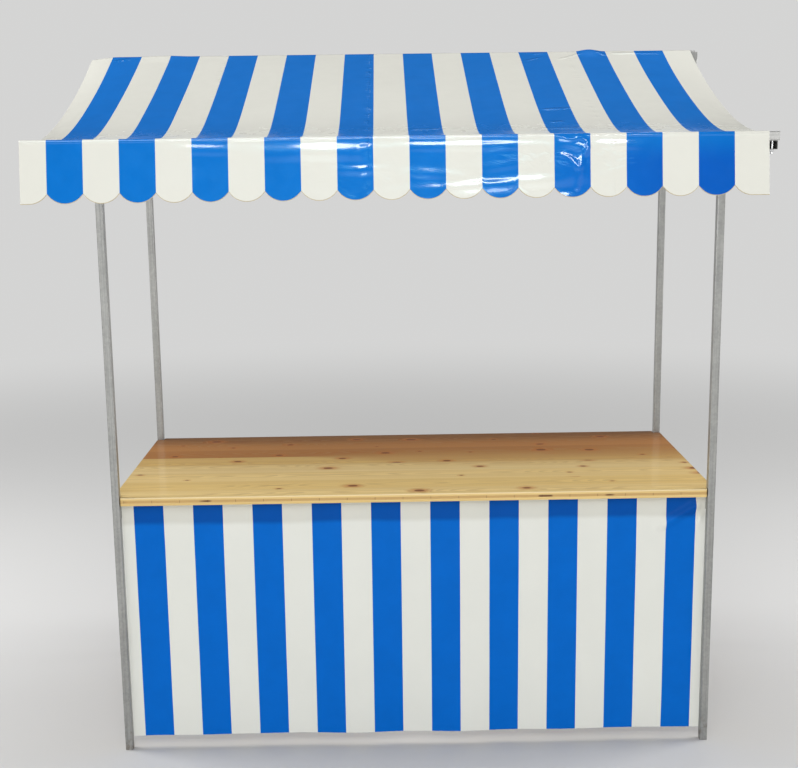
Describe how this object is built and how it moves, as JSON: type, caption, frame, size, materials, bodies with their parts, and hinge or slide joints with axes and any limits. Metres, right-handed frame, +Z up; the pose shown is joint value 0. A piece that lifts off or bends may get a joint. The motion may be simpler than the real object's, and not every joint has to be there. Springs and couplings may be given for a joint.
{
  "type": "market stall",
  "caption": "Market stall with a square-tube frame, a wooden counter, a striped front skirt and a striped saddle roof with scalloped valances.",
  "frame": {"origin": "on the ground under the middle of the whole outline, canvas included; the steel frame's own middle is 37.75 mm towards +X of it, because the canvas hangs further out on the left", "axes": "+Z up, +X along the counter to the customer's right, -Y towards the customer"},
  "size_m": [2.1006, 1.975, 2.3555],
  "materials": {
    "tube_steel": "galvanised square tube, satin",
    "bolt_steel": "bright zinc plate",
    "counter_wood": "clear lacquered three-layer softwood board, gloss",
    "striped_canvas": "coated canvas in blue and cream stripes of 100 mm, gloss",
    "striped_skirt": "coated canvas in blue and cream stripes of 100 mm, satin"
  },
  "bodies": {
    "root": {"beam_spigot_back_left": "tube_steel", "beam_spigot_back_right": "tube_steel", "beam_spigot_front_left": "tube_steel", "beam_spigot_front_right": "tube_steel", "counter_back_rail": "tube_steel", "counter_bearer": "tube_steel", "counter_board": "counter_wood", "counter_front_rail": "tube_steel", "counter_side_rail_left": "tube_steel", "counter_side_rail_right": "tube_steel", "eave_bolt_back_left": "bolt_steel", "eave_bolt_back_right": "bolt_steel", "eave_bolt_front_left": "bolt_steel", "eave_bolt_front_right": "bolt_steel", "eave_nut_back_left": "bolt_steel", "eave_nut_back_right": "bolt_steel", "eave_nut_front_left": "bolt_steel", "eave_nut_front_right": "bolt_steel", "eave_rail_back": "tube_steel", "eave_rail_front": "tube_steel", "king_post_left": "tube_steel", "king_post_right": "tube_steel", "post_back_left": "tube_steel", "post_back_right": "tube_steel", "post_front_left": "tube_steel", "post_front_right": "tube_steel", "ridge_tube": "tube_steel", "roof_slope_back": "striped_canvas", "roof_slope_front": "striped_canvas", "side_beam_left": "tube_steel", "side_beam_right": "tube_steel", "skirt": "striped_skirt", "valance_back": "striped_canvas", "valance_front": "striped_canvas"}
  },
  "joints": []
}
